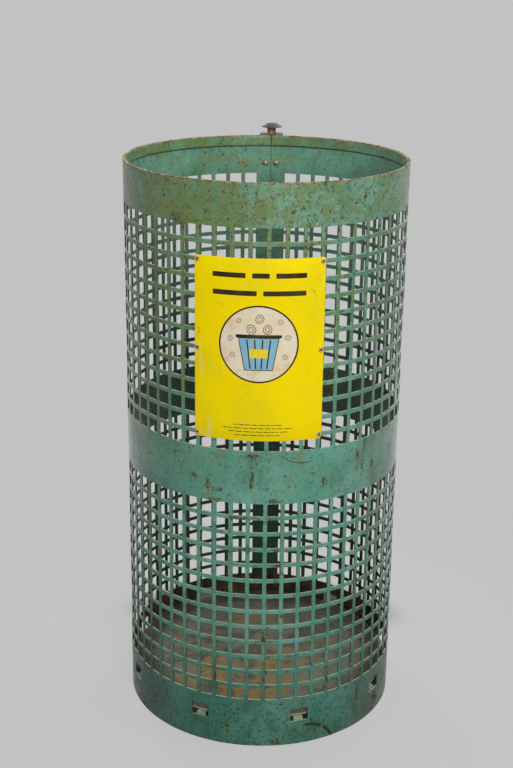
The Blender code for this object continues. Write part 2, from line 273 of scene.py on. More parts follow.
    def hole_edges(self, flat):
        """1 along the holes' lower edges, and 1 along their upright edges, on the lattice's faces."""
        columns = self.calc("ABSOLUTE", self.times(self.part(flat, 0), 1 / HOLE_PITCH))
        across = self.calc("PINGPONG", self.calc("MINIMUM", columns, HOLE_COLUMNS / 2), 0.5)
        level = self.times(self.part(flat, 1), 1 / HOLE_PITCH)
        level = self.sum(level, -LOWER_ZONE_Z / HOLE_PITCH - HOLE_HALF)
        up = self.calc("WRAP", level, 0.5, -0.5)

        def below(row):
            return self.band(level, row - 0.49, row - 0.51)

        def above(row):
            return self.band(level, row - 0.51, row - 0.49)

        def within(value):
            return self.band(value, HOLE_HALF + 0.01, HOLE_HALF - 0.01)

        zones = self.sum(below(HOLE_ROWS), above(HOLE_ROWS + BLANK_ROWS))
        in_rows = self.times(zones, above(0), below(2 * HOLE_ROWS + BLANK_ROWS))
        low_edge = self.times(
            self.band(up, -HOLE_HALF - 0.050, -HOLE_HALF - 0.015),
            self.band(up, -HOLE_HALF + 0.03, -HOLE_HALF), within(across), in_rows,
        )
        side_edge = self.times(
            self.band(across, HOLE_HALF + 0.045, HOLE_HALF + 0.005),
            self.band(across, HOLE_HALF - 0.03, HOLE_HALF - 0.01), within(self.calc("ABSOLUTE", up)), in_rows,
        )
        return low_edge, side_edge


# ---------------------------------------------------------------- materials

TEAL = (0.082, 0.270, 0.200)
TEAL_PALE = (0.150, 0.365, 0.290)
TEAL_DEEP = (0.040, 0.150, 0.115)
FOOT_TINT = (0.50, 0.60, 0.60)
# Painted shade on the drum's lower sides.
FLANK_SHADE_TINT = (0.66, 0.68, 0.68)
MOSS = (0.126, 0.178, 0.042)
OCHRE = (0.192, 0.158, 0.036)
GRIME = (0.036, 0.038, 0.018)
SCAB = (0.022, 0.024, 0.007)
# Painted shade inside the drum, and painted shadow with soot under the hoop.
SHADE_AND_SOOT = (0.012, 0.016, 0.010)
# Painted shade on the drum's sides below the top band.
FLANK_SHADE = (0.062, 0.066, 0.038)
# A painted grey reflection on the top band's sides.
PAINTED_REFLECTION_GREY = (0.330, 0.330, 0.290)
SILT_DARK = (0.026, 0.020, 0.010)
SILT_RUSTY = (0.085, 0.048, 0.018)
RUST = (0.125, 0.082, 0.022)
RUST_DARK = (0.056, 0.041, 0.010)
OLIVE_BROWN = (0.078, 0.084, 0.022)
TAN = (0.330, 0.230, 0.125)
# Worn paint with a painted highlight, on the holes' lower edges and up-facing cut edges.
WORN_PAINT_AND_HIGHLIGHT = (0.290, 0.390, 0.285)
EDGE_SCALE = (0.014, 0.011, 0.006)
EDGE_PAINT = (0.028, 0.048, 0.034)
# Dust with a painted highlight, on faces that face up.
DUST_AND_HIGHLIGHT = (0.270, 0.300, 0.200)
FLOOR_DARK = (0.056, 0.057, 0.034)
FLOOR_PALE = (0.168, 0.171, 0.124)
FLOOR_PAINT = (0.105, 0.165, 0.110)
FLOOR_ORANGE = (0.245, 0.158, 0.042)
FLOOR_PITS = (0.050, 0.038, 0.024)
# Dirt with painted shade from the wall, round the floor's edge.
FLOOR_RING_DIRT_AND_SHADE = (0.042, 0.032, 0.020)
# Painted shade towards the back of the floor.
FLOOR_BACK_SHADE = (0.045, 0.036, 0.028)
# Worn metal with a painted highlight, on the floor's rim.
FLOOR_RIM_WEAR_AND_HIGHLIGHT = (0.300, 0.290, 0.200)
YELLOW = (0.860, 0.655, 0.001)
YELLOW_DEEP = (0.760, 0.600, 0.006)
YELLOW_RUBBED = (0.760, 0.700, 0.300)
YELLOW_STAIN = (0.300, 0.190, 0.020)
PRINT = (0.022, 0.013, 0.006)

# The two colours that each worn small part runs between, the darker first.
ALLOY = ((0.260, 0.165, 0.070), (0.600, 0.450, 0.250))
STEM_STEEL = ((0.030, 0.012, 0.008), (0.090, 0.035, 0.020))
SIGN_BACK = ((0.075, 0.085, 0.070), (0.200, 0.210, 0.185))
WORN_RIVET = ((0.085, 0.090, 0.045), (0.420, 0.340, 0.190))
STUD_RUST = ((0.070, 0.028, 0.018), (0.260, 0.110, 0.065))
STUD_HEAD = ((0.026, 0.038, 0.024), (0.075, 0.135, 0.095))

# Rust scars on the drum: turn in degrees, height, then half width and half height of the patch.
SCARS = (
    (-35, 0.470, 0.0022, 0.013), (-2, 0.480, 0.0150, 0.004), (-2, 0.445, 0.0036, 0.018),
    (-20, 0.430, 0.0042, 0.010), (-26, 0.440, 0.0050, 0.006), (47, 0.478, 0.0024, 0.015),
    (43, 0.467, 0.0028, 0.010), (46, 0.443, 0.0030, 0.014), (52, 0.444, 0.0036, 0.008),
    (27, 0.434, 0.0046, 0.008), (-16, 0.424, 0.0090, 0.004), (-16, 0.408, 0.0110, 0.004),
    (7, 0.410, 0.0100, 0.003), (-5, 0.383, 0.0200, 0.006), (6, 0.380, 0.0100, 0.010),
    (-5, 0.332, 0.0140, 0.007), (8, 0.310, 0.0070, 0.045), (49, 0.205, 0.0060, 0.024),
    (44, 0.255, 0.0060, 0.022), (43, 0.125, 0.0045, 0.022), (31, 0.107, 0.0025, 0.022),
    (5, 0.135, 0.0050, 0.045), (-17, 0.120, 0.0090, 0.018), (48, 0.050, 0.0024, 0.034),
    (3, 0.190, 0.0160, 0.012), (-13, 0.262, 0.0120, 0.004), (-19, 0.175, 0.0060, 0.020),
    (11, 0.226, 0.0090, 0.007), (-28, 0.236, 0.0080, 0.010),
    (-11, 0.030, 0.0030, 0.014), (-68, 0.047, 0.0060, 0.008), (9, 0.006, 0.0120, 0.006),
    (-33, 0.812, 0.0200, 0.012), (42, 0.848, 0.0028, 0.009), (62, 0.022, 0.0110, 0.016),
    (150, 0.450, 0.0120, 0.026), (-120, 0.435, 0.0080, 0.022), (95, 0.050, 0.0090, 0.022),
    (-85, 0.815, 0.0160, 0.012), (118, 0.825, 0.0140, 0.009),
)

# Heights between which the drum's paint is one material, so that each has only its own scars,
# and how glossy it is there: dirt has dulled it low down.
PAINT_ZONES = ((-1.0, 0.230, 0.18), (0.230, 0.395, 0.36), (0.395, 0.500, 0.5), (0.500, 1.0, 0.5))

# Curved scratches: turn in degrees and height of the circle's centre, radius, two angles, half width.
SCRATCHES = (
    (21.6, -0.020, 0.051, 0.36, 1.62, 0.0038), (18.3, 0.520, 0.0515, -2.30, -1.30, 0.0009),
    (-150, 0.430, 0.040, 0.40, 1.60, 0.0009),
)


class OldEnamel(Paint):
    """Teal enamel with what its age is worked out from. Each method lays one kind of age over it, and some
    lay painted shade, a painted reflection and painted highlights as well.
    """

    def __init__(self, name, moss, rust):
        super().__init__(name)
        self.rust = rust
        self.height = self.axis(2)
        self.aside = self.calc("ABSOLUTE", self.axis(0))
        self.outer = self.outside()
        self.ragged = self.noise(70, 4, 0.7)
        self.fade = self.noise(8, 4, 0.6)
        self.cloud = self.noise(30, 6, 0.70, where=self.mapped((1, 1, 0.6)))
        self.upper = self.band(self.height, 0.46 * DRUM_H, 0.84 * DRUM_H, 0.05, 1.0)
        self.foot = self.band(self.sum(self.height, self.times(self.fade, 0.12)), 0.36, 0.09)
        left = self.band(self.axis(0), 0.17, -0.10, 0.52, 1.0)
        self.stained = self.times(self.upper, left, self.band(self.outer, 0, 1, 0.40, 1.0), moss)
        self.colour = self.mix(self.band(self.fade, 0.38, 0.62), TEAL, TEAL_PALE)
        self.lay(TEAL_DEEP, self.band(self.cloud, 0.50, 0.66), 0.60)

    def either(self, low, high, first, second):
        """Ragged patches of two colours."""
        return self.mix(self.band(self.ragged, low, high), first, second)

    def clouded(self, first, last, low=0.30, high=0.60):
        return self.band(self.cloud, low, high, first, last)

    def stain(self):
        """Moss, mostly high on the left, with ochre in it, and rusty runs down the paint."""
        self.lay(MOSS, self.stained, self.clouded(0.62, 0.40, 0.35))
        moss_cloud = self.sum(
            self.times(self.noise(34, 3, 0.6), 0.42), self.times(self.noise(115, 7, 0.92, 0.2), 0.58)
        )
        moss_patch = self.band(self.sum(moss_cloud, self.times(self.stained, 0.045)), 0.500, 0.560)
        self.lay(MOSS, moss_patch, self.band(self.stained, 0.0, 0.8, 0.15, 0.80))
        ochre_cloud = self.sum(self.noise(62, 6, 0.80, 0.5), self.times(moss_patch, self.stained, 0.06))
        self.lay(OCHRE, self.band(ochre_cloud, 0.605, 0.680), 0.70 * self.rust)
        blush = self.band(self.noise(26, 7, 0.86), 0.555, 0.625)
        self.lay(self.mix(0.4, OCHRE, MOSS), blush, 0.55 * self.rust)
        runs = self.band(self.streaks((95, 95, 7), 5, 0.6, 0.2), 0.61, 0.74)
        self.lay(RUST_DARK, runs, self.band(self.noise(11, 3, 0.5), 0.50, 0.62), 0.65 * self.rust)

    def shade_and_reflection(self):
        """Darker towards the foot, painted shade down the sides and inside, and a painted grey reflection at
        the top band's sides.
        """
        self.lay(FOOT_TINT, self.foot, blend="MULTIPLY")
        # Painted shade on the drum's sides: darker at the lower sides, and below the top band.
        shaded_flank = self.band(self.aside, 0.10, 0.20)
        self.lay(FLANK_SHADE_TINT, self.foot, shaded_flank, blend="MULTIPLY")
        below_top = self.band(self.height, 0.92 * DRUM_H, 0.88 * DRUM_H)
        self.lay(FLANK_SHADE, shaded_flank, below_top, self.clouded(0.18, 0.44))
        # A painted reflection: pale grey at the top band's sides.
        painted_reflection = self.times(self.band(self.aside, 0.178, 0.208), self.flip(below_top), self.outer)
        self.lay(PAINTED_REFLECTION_GREY, painted_reflection, self.clouded(0.30, 0.46))
        # Painted shade inside the drum, deeper further down.
        inside = self.flip(self.outer)
        inside_shade = self.times(inside, self.band(self.height, 0.86 * DRUM_H, 0.52 * DRUM_H, 0.0, 0.86))
        self.lay(SHADE_AND_SOOT, inside_shade, self.clouded(1.0, 0.82, high=0.70))

    def fleck(self):
        """Small marks: flecks, grime, rust freckles and dark scabs. Gives the last two."""
        flecks = self.band(self.streaks((230, 230, 80), 5, 0.75, 0.4), 0.615, 0.655)
        self.lay(OLIVE_BROWN, flecks, 0.75 * self.rust, self.outer)
        self.lay(GRIME, self.band(self.noise(110, 5, 0.75), 0.58, 0.70), 0.50)
        freckle = self.sum(self.noise(300, 4, 0.75, 0.3), self.times(self.upper, 0.008))
        patches = self.band(self.noise(22, 3, 0.6), 0.40, 0.62, 0.15, 1.0)
        freckles = self.times(self.band(freckle, 0.570, 0.625), patches)
        self.lay(self.either(0.56, 0.66, OLIVE_BROWN, RUST), freckles, 0.80 * self.rust)
        more = self.times(self.sum(self.upper, self.foot), self.outer, 0.032)
        scab = self.band(self.sum(self.noise(210, 5, 0.80, 0.6), more), 0.606, 0.632)
        self.lay(self.mix(0.3, SCAB, RUST_DARK), scab, 0.9 * self.rust)
        return freckles, scab

    def scar(self, flat, low, high):
        """The scars between two heights, brown round a dark core, and the scratches. Gives both."""
        broken = self.sum(self.times(self.noise(110, 6, 0.88), 6.0), -2.9)
        scar = self.greatest(*(
            self.blot(flat, broken, math.radians(turn), level, *size)
            for turn, level, *size in SCARS if low <= level < high
        ))
        halo = self.times(self.band(scar, 0.20, 0.48), self.band(self.noise(200, 5, 0.85), 0.46, 0.55))
        self.lay(self.either(0.42, 0.56, OLIVE_BROWN, OCHRE), halo, 0.85)
        grain = self.band(self.streaks((330, 330, 120), 4, 0.8, 0.2), 0.46, 0.52)
        core = self.times(self.band(scar, 0.50, 0.76), grain)
        self.lay(self.either(0.54, 0.68, SCAB, RUST_DARK), core, 0.95)
        lines = [self.scratch(flat, math.radians(turn), *rest) for turn, *rest in SCRATCHES]
        scratches = self.times(self.greatest(*lines), self.band(self.ragged, 0.22, 0.36))
        self.lay(self.either(0.60, 0.74, SCAB, OCHRE), scratches)
        return self.times(core, 0.6), scratches

    def chip(self, flat):
        """Paint worn off the holes' lower edges with a painted highlight along them, and rust along their
        upright ones.
        """
        low_edges, side_edges = self.hole_edges(flat)
        chips = self.band(self.noise(85, 5, 0.85), 0.40, 0.58, 0.12, 1.0)
        # Pale line along the holes' lower edges: worn paint and a painted highlight.
        self.lay(WORN_PAINT_AND_HIGHLIGHT, low_edges, chips, self.outer, 0.80)
        self.lay(RUST_DARK, side_edges, chips, self.outer, 0.70)

    def line(self):
        """Inside: silt at the floor, and a dark line under the hoop that is painted shadow with dirt at the
        joint.
        """
        inside = self.flip(self.outer)
        silt = self.band(self.sum(self.height, self.times(self.cloud, 0.03)), 0.135, 0.085)
        silt_colour = self.mix(self.band(self.cloud, 0.42, 0.60), SILT_DARK, SILT_RUSTY)
        self.lay(silt_colour, self.times(inside, silt), 0.85)
        # Painted shadow under the hoop, with dirt along the joint.
        under_hoop = self.sum(self.height, -HOOP_LOW.z + 0.0009)
        starts = self.band(under_hoop, -0.0020, -0.0010)
        self.lay(SHADE_AND_SOOT, starts, self.band(under_hoop, 0.0012, 0.0004), inside, 0.85)

    def bare(self, rimmed):
        """Dust and a painted highlight on what faces up, and bare, rusty metal at the rim and the cut foot.
        Gives the rim.
        """
        # Paler on faces that face up: dust, and a painted highlight as if lit from above.
        self.lay(DUST_AND_HIGHLIGHT, self.facing_up(), self.band(self.ragged, 0.25, 0.65, 0.35, 0.95))
        rim = self.sum(self.height, self.times(self.ragged, 0.0036))
        rim = self.band(rim, DRUM_H - 0.0005, DRUM_H + 0.0011)
        rim = self.times(rim, self.band(self.noise(26, 5, 0.75), 0.36, 0.52, 0.35, 1.0), float(rimmed))
        rusty = self.band(self.noise(130, 4, 0.7), 0.44, 0.56)
        self.lay(self.mix(rusty, TAN, self.mix(0.5, RUST_DARK, RUST)), rim)
        cut = self.band(self.sum(self.height, self.times(self.ragged, 0.010)), 0.0085, 0.0045)
        self.lay(self.either(0.42, 0.56, RUST_DARK, TAN), cut, 0.75)
        return rim


def weathered_paint(name, moss=1.0, rust=1.0, dark=0.0, zone=None, rimmed=True):
    """Old teal enamel. A zone is two heights, for the scars between them, and how glossy it is."""
    p = OldEnamel(name, moss, rust)
    p.stain()
    p.shade_and_reflection()
    freckles, scab = p.fleck()
    if zone:
        flat = p.unrolled()
        scab = p.greatest(scab, *p.scar(flat, *zone[:2]))
        p.chip(flat)
    p.line()
    rim = p.bare(rimmed)
    if dark:
        p.lay(GRIME, dark)
    worn = p.greatest(freckles, scab, rim)
    rough = p.band(p.sum(p.times(p.cloud, 0.5), worn), 0.2, 1.2, 0.27, 0.80)
    relief = p.sum(p.times(p.fade, 0.5), p.times(freckles, 0.4), p.times(scab, -0.7))
    skin = p.bump(p.noise(520, 3, 0.6), 0.00012, p.bump(relief, 0.0005))
    return p.finished(rough, skin, Specular_IOR_Level=zone[2] if zone else 0.5)


def cut_edge():
    """The sheared edges of the sheet's holes: thin paint over dark scale, with pale dust and a painted
    highlight on top.
    """
    p = Paint("cut_edge")
    patch = p.noise(90, 5, 0.7)
    p.colour = p.mix(p.band(patch, 0.40, 0.62), EDGE_SCALE, EDGE_PAINT)
    # Paler where the edge faces up: dust and a painted highlight.
    p.lay(WORN_PAINT_AND_HIGHLIGHT, p.facing_up(), p.band(p.noise(60, 4, 0.7), 0.28, 0.55, 0.45, 1.0))
    return p.finished(p.band(patch, 0.3, 0.7, 0.75, 0.5), p.bump(p.noise(400, 3, 0.6), 0.0002))


def rusty_floor():
    """Grey and green scale, with orange rust that gathers at the front left, a dark ring at the edge that is
    dirt and painted shade from the wall, painted shade towards the back, and a pale rim that is worn metal
    and a painted highlight.
    """
    p = Paint("floor_scale")
    broad = p.noise(13, 5, 0.65, 0.3)
    fine = p.noise(95, 5, 0.75)
    p.colour = p.mix(p.band(broad, 0.38, 0.58), FLOOR_DARK, FLOOR_PALE)
    p.lay(FLOOR_PAINT, p.band(p.noise(17, 4, 0.6), 0.54, 0.66), 0.7)
    from_damp = p.length(p.mapped((0.6, 1, 0), (0.030, 0.115 - AXIS_Y, 0)))
    patch = p.sum(p.noise(19, 6, 0.75, 0.4), p.times(p.band(from_damp, 0.100, 0.030), 0.075))
    p.lay(FLOOR_ORANGE, p.band(patch, 0.50, 0.60), 0.90)
    p.lay(FLOOR_PITS, p.band(fine, 0.53, 0.70), 0.8)
    reach = p.length(p.mapped((1, 1, 0), (0, -AXIS_Y, 0)))
    rough_reach = p.sum(reach, p.times(broad, 0.02))
    # Dark ring round the edge: dirt, and painted shade from the wall.
    p.lay(FLOOR_RING_DIRT_AND_SHADE, p.band(rough_reach, FLOOR_HIGH.x - 0.036, FLOOR_HIGH.x - 0.010), 0.85)
    # Painted shade towards the back of the floor.
    back = p.sum(p.axis(1), p.times(fine, 0.03))
    p.lay(FLOOR_BACK_SHADE, p.band(back, AXIS_Y - 0.02, AXIS_Y + 0.17), 0.55)
    # Pale rim: worn metal, and a painted highlight.
    p.lay(FLOOR_RIM_WEAR_AND_HIGHLIGHT, p.band(reach, FLOOR_HIGH.x - 0.0009, FLOOR_HIGH.x - 0.0003))
    rough = p.band(fine, 0.3, 0.8, 0.70, 0.95)
    return p.finished(rough, p.bump(p.sum(p.times(broad, 0.8), fine), 0.0009))


def sign_enamel():
    """Glossy yellow enamel: rubbed pale streaks, brown stains and dark specks."""
    p = Paint("yellow_enamel")
    cloud = p.noise(16, 4, 0.6)
    p.colour = p.mix(p.band(cloud, 0.42, 0.70), YELLOW, YELLOW_DEEP)
    rub = p.band(p.streaks((45, 45, 9), 4, 0.6, 0.3), 0.60, 0.76)
    p.lay(YELLOW_RUBBED, rub, p.band(cloud, 0.38, 0.55), 0.5)
    stain = p.times(p.band(p.noise(60, 5, 0.7, 0.4), 0.60, 0.72), p.band(p.noise(9, 3), 0.45, 0.62))
    p.lay(YELLOW_STAIN, stain, 0.7)
    p.lay(RUST_DARK, p.band(p.noise(420, 3, 0.7), 0.70, 0.74), 0.8)
    rough = p.band(p.noise(30, 4, 0.6), 0.35, 0.7, 0.34, 0.52)
    skin = p.bump(p.sum(cloud, p.times(stain, 0.2)), 0.0003)
    return p.finished(rough, skin, Specular_IOR_Level=0.03)


def print_ink(name, ink, worn_to, cover=0.62):
    """Screen-printed ink with pinholes and rubbed places."""
    p = Paint(name, ink)
    rub = p.sum(p.times(p.noise(150, 5, 0.75), 0.5), p.times(p.noise(40, 3), 0.5))
    tone = p.band(p.noise(45, 3), 0.3, 0.7)
    p.lay(worn_to, tone, 0.35)
    p.lay(worn_to, p.band(rub, cover, cover + 0.10), 0.7)
    return p.finished(p.band(tone, 0, 1, 0.40, 0.58), Specular_IOR_Level=0.15)


def metal(name, dull, bright, rough=(0.35, 0.7), metallic=0.6, grain=260, depth=0.0002):
    """Worn metal that runs between a dull and a bright colour."""
    p = Paint(name)
    patch = p.noise(grain, 5, 0.7, 0.3)
    broad = p.noise(grain / 5, 4, 0.6)
    share = p.band(p.sum(p.times(patch, 0.5), p.times(broad, 0.5)), 0.40, 0.60)
    p.colour = p.mix(share, dull, bright)
    return p.finished(p.band(share, 0, 1, rough[1], rough[0]), p.bump(patch, depth), Metallic=metallic)


def real_light(p, reach, share):
    """All real light under the bin, this share close round it, and none further off."""
    under = p.band(reach, DRUM_R, DRUM_R - 0.004, 0, 1 - share)
    return p.sum(under, p.band(reach, 0.75, 0.30, 0, share))


def shadow_behind(p, reach, darkest):
    """A soft shadow on the ground close behind the bin's foot: 1 is none."""
    away = p.vector("NORMALIZE", p.vector("SUBTRACT", p.place, (0, AXIS_Y, 0)))
    behind = p.vector("DOT_PRODUCT", away, (0, 1, 0), output="Value")
    close = p.band(reach, DRUM_R + 0.175, DRUM_R + 0.085)
    return p.band(p.times(close, p.band(behind, 0.50, 0.92)), 0, 1, 1, darkest)


def studio_grey(name, share):
    """Pale studio grey, evenly lit, with this share of real light round the bin."""
    p = Paint(name, STUDIO_MATT)
    glow = {"Color": BACKDROP}
    blend = 0.0
    if share:
        reach = p.vector("DISTANCE", p.place, (0, AXIS_Y, 0), output="Value")
        glow["Strength"] = shadow_behind(p, reach, 0.12)
        blend = p.times(real_light(p, reach, share), glow["Strength"])
    made = p.finished(1.0, Specular_IOR_Level=0)
    both = p.node("ShaderNodeMixShader", (blend, p.node("ShaderNodeEmission", glow), p.shader.outputs[0]))
    p.feed(p.tree.nodes["Material Output"].inputs["Surface"], both)
    return made


# ---------------------------------------------------------------- mesh helpers


def new_object(name, data):
    made = bpy.data.objects.new(name, data)
    bpy.context.scene.collection.objects.link(made)
    return made


def new_piece(name, mesh, paints, body="basket", replaces=()):
    """Put a finished mesh in the scene as a piece of the object."""
    made = new_object(name, mesh)
    mesh.materials.clear()
    for paint in paints:
        mesh.materials.append(paint)
    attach(made, body)
    if replaces:
        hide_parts(*replaces)
    return made


def mesh_from(bm, name):
    mesh = bpy.data.meshes.new(name)
    bm.to_mesh(mesh)
    bm.free()
    return mesh


def smooth(mesh, angle=50):
    mesh.shade_smooth()
    mesh.set_sharp_from_angle(angle=math.radians(angle))
    return mesh


def placed(mesh, matrix):
    mesh.transform(matrix)
    return mesh


def evaluated(holder):
    """The object's mesh with its modifiers applied. The object is removed."""
    bpy.context.view_layer.update()
    result = bpy.data.meshes.new_from_object(holder.evaluated_get(bpy.context.evaluated_depsgraph_get()))
    bpy.data.objects.remove(holder)
    return result


def applied(mesh, *modifiers):
    """The mesh with these modifiers applied, each a (type, settings) pair."""
    holder = new_object(mesh.name, mesh)
    for kind, settings in modifiers:
        made = holder.modifiers.new(kind.lower(), kind)
        for key, value in settings.items():
            setattr(made, key, value)
    return evaluated(holder)


def sheet_settings(thickness):
    settings = {"thickness": thickness, "offset": -1, "use_even_offset": True, "use_quality_normals": True}
    return "SOLIDIFY", settings


def bevel_settings(width, segments):
    settings = {"width": width, "segments": segments, "limit_method": "ANGLE"}
    return "BEVEL", settings | {"angle_limit": math.radians(60), "harden_normals": False}


def weld(mesh):
    """Merge points that lie on each other and drop faces with no area."""
    bm = bmesh.new()
    bm.from_mesh(mesh)
    bmesh.ops.remove_doubles(bm, verts=bm.verts, dist=2e-6)
    bmesh.ops.dissolve_degenerate(bm, dist=2e-6, edges=bm.edges)
    bm.to_mesh(mesh)
    bm.free()


def even(start, end, count):
    return [start + (end - start) * index / count for index in range(count + 1)]


def circle(radius, count, x=0.0, y=0.0):
    angles = [2 * math.pi * index / count for index in range(count)]
    return [(x + radius * math.cos(angle), y + radius * math.sin(angle)) for angle in angles]


def ring(bm, radius, height, count, x=0.0, y=0.0):
    """A level ring of new points."""
    return [bm.verts.new((*point, height)) for point in circle(radius, count, x, y)]


def bridge(bm, rows, around=False, keep=None):
    """Faces from each row of points to the next. keep(column, row) says which cells are there."""
    for row, (low, high) in enumerate(zip(rows, rows[1:])):
        for column in range(len(low) if around else len(low) - 1):
            after = (column + 1) % len(low)
            if keep is None or keep(column, row):
                bm.faces.new((low[column], low[after], high[after], high[column]))


def rolled(turns, heights, radius, keep=None):
    """An open sheet bent round the drum."""
    bm = bmesh.new()
    rows = [[bm.verts.new(spot(turn, radius, height)) for turn in turns] for height in heights]
    bridge(bm, rows, keep=keep)
    loose = [vert for vert in bm.verts if not vert.link_faces]
    bmesh.ops.delete(bm, geom=loose, context="VERTS")
    return bm


def turned(name, profile, sides=40, closed=False):
    """A turned mesh about Z. The (radius, height) profile runs down its outer side."""
    bm = bmesh.new()
    rings = []
    for radius, height in profile:
        rings.append([bm.verts.new((0, 0, height))] if radius < 1e-7 else ring(bm, radius, height, sides))
    if closed:
        rings.append(rings[0])
    for upper, lower in zip(rings, rings[1:]):
        for side in range(sides):
            after = (side + 1) % sides
            corners = [upper[side % len(upper)], lower[side % len(lower)]]
            corners += [lower[after % len(lower)], upper[after % len(upper)]]
            corners = list(dict.fromkeys(corners))
            if len(corners) > 2:
                bm.faces.new(corners)
    return mesh_from(bm, name)


# ---------------------------------------------------------------- the drum wall


def wall_layout():
    """Turns of the lattice's edges, and which of the cells between them lie in a hole column."""
    edge = math.pi - SEAM_HALF_GAP
    outermost = HOLE_COLUMNS // 2
    first = (-outermost - HOLE_HALF) * PITCH_TURN
    turns = even(-edge, first, 4)[:-1]
    in_hole = [False] * 4
    for column in range(-outermost, outermost + 1):
        for step in range(3):
            turns.append((column - HOLE_HALF + step * 2 * HOLE_HALF / 3) * PITCH_TURN)
        turns.append((column + HOLE_HALF) * PITCH_TURN)
        in_hole += [True] * 3 + [False]
    turns += even(-first, edge, 4)[1:]
    return turns, in_hole + [False] * 3


def row_edges(zone_z):
    edges = []
    for row in range(HOLE_ROWS):
        edges += [zone_z + row * HOLE_PITCH, zone_z + row * HOLE_PITCH + HOLE_SIDE]
    return edges


def slot_turns():
    return [SLOT_FIRST_TURN + SLOT_STEP_TURN * index for index in range(SLOT_COUNT)]


def slot_cutter():
    """Blocks where the tongues were lanced out."""
    bm = bmesh.new()
    size = Matrix.Diagonal((SLOT_W, SLOT_Z[1] - SLOT_Z[0], 12 * SHEET, 1))
    for turn in slot_turns():
        bmesh.ops.create_cube(bm, size=1, matrix=outward(turn, sum(SLOT_Z) / 2, DRUM_R) @ size)
    return new_object("slot_cutter", mesh_from(bm, "slot_cutter"))


def tongue_strips():
    """Bent strips that rise from each slot's lower edge and level out under the floor plate."""
    under = FLOOR_LOW.z - 0.0004
    start = SLOT_Z[0] - TONGUE_T * 0.6
    path = [
        (0.80, INNER_R - TONGUE_REACH, under),
        (0.90, INNER_R - TONGUE_BEND * 1.6, under),
        (0.94, INNER_R - TONGUE_BEND, under - 0.0006),
        (0.98, INNER_R - TONGUE_BEND * 0.45, (under + start) / 2 + 0.0006),
        (1.0, INNER_R + SHEET * 0.1, start + 0.0008),
        (1.0, INNER_R + SHEET * 0.45, start - 0.0006),
    ]
    bm = bmesh.new()
    for turn in slot_turns():
        place = outward(turn, 0)
        rows = []
        for width, reach, height in path:
            offsets = even(-TONGUE_W / 2 * width, TONGUE_W / 2 * width, 4)
            rows.append([bm.verts.new(place @ Vector((-x, height, reach))) for x in offsets])
        bridge(bm, rows)
    return new_object("tongues", applied(mesh_from(bm, "tongues"), sheet_settings(TONGUE_T)))


def make_drum(paints, edge_paint):
    turns, in_hole = wall_layout()
    heights = [0.0, *row_edges(LOWER_ZONE_Z), *row_edges(UPPER_ZONE_Z), HOOP_LOW.z, DRUM_H]

    def keep(column, row):
        return not (in_hole[column] and row % 2 == 1 and row < 4 * HOLE_ROWS)

    sheet = mesh_from(rolled(turns, heights, DRUM_R, keep), "drum_wall")
    solid = applied(sheet, sheet_settings(SHEET), bevel_settings(WALL_BEVEL, 1))
    cutter, strips = slot_cutter(), tongue_strips()
    mesh = applied(
        solid,
        ("BOOLEAN", {"object": cutter, "solver": "EXACT", "operation": "DIFFERENCE"}),
        ("BOOLEAN", {"object": strips, "solver": "EXACT", "operation": "UNION"}),
    )
    weld(mesh)
    bpy.data.objects.remove(cutter)
    bpy.data.objects.remove(strips)
    knock_about(mesh)
    smooth(mesh, 40)
    new_piece("drum_wall", mesh, [edge_paint, *paints], replaces=["body_shell"])
    for face in mesh.polygons:
        z = face.center.z
        radial = face.center - Vector((0, AXIS_Y, z))
        sheared = abs(face.normal.dot(radial.normalized())) < 0.5
        if not (sheared and SLOT_Z[0] < z < HOOP_LOW.z and radial.length > INNER_R - 0.001):
            face.material_index = 1 + next(index for index, zone in enumerate(PAINT_ZONES) if z < zone[1])


def knock_about(mesh):
    """Push the lattice inwards here and there, as knocks leave it, but not behind the sign."""
    sign_turn = math.radians(30)
    ease_turn = math.radians(8)
    ease = 0.04
    sign_z = UPPER_ZONE_Z - 0.02
    top_z = HOOP_LOW.z - 0.02
    for vert in mesh.vertices:
        z = vert.co.z
        radial = Vector((vert.co.x, vert.co.y - AXIS_Y, 0))
        turn = math.atan2(radial.x, -radial.y)
        if (abs(turn) < sign_turn and z > sign_z) or not LOWER_ZONE_Z < z < top_z:
            continue
        free = min(1.0, (z - LOWER_ZONE_Z) / ease, (top_z - z) / ease)
        if z > sign_z:
            free = min(free, (abs(turn) - sign_turn) / ease_turn)
        broad = noise.noise(Vector((turn * 2.2, 4.0, z * 9)))
        local = noise.noise(Vector((turn * 8.0, 9.0, z * 38)))
        push = KNOCK * free * max(0.0, min(1.0, 0.35 + 0.9 * broad + 0.5 * local))
        vert.co -= radial.normalized() * push


def make_seam(paint):
    """The welded strip that fills the butt seam, a little below both faces of the sheet."""
    rng = random.Random(7)
    bm = bmesh.new()
    half = SEAM_HALF_GAP * DRUM_R + 0.0001
    inner, outer = INNER_R + 0.0006, DRUM_R - 0.0002
    rings = []
    for height in even(0.0006, DRUM_H - 0.0006, 150):
        crown = outer + rng.uniform(-0.00015, 0.00015)
        corners = [(-half, inner), (half, inner), (half, crown), (0, crown + 0.0001), (-half, crown)]
        rings.append([bm.verts.new((x, AXIS_Y + reach, height)) for x, reach in corners])
    bridge(bm, rings, around=True)
    bm.faces.new(list(reversed(rings[0])))
    bm.faces.new(rings[-1])
    bmesh.ops.recalc_face_normals(bm, faces=bm.faces)
    new_piece("seam_weld", smooth(mesh_from(bm, "seam_weld"), 60), [paint])


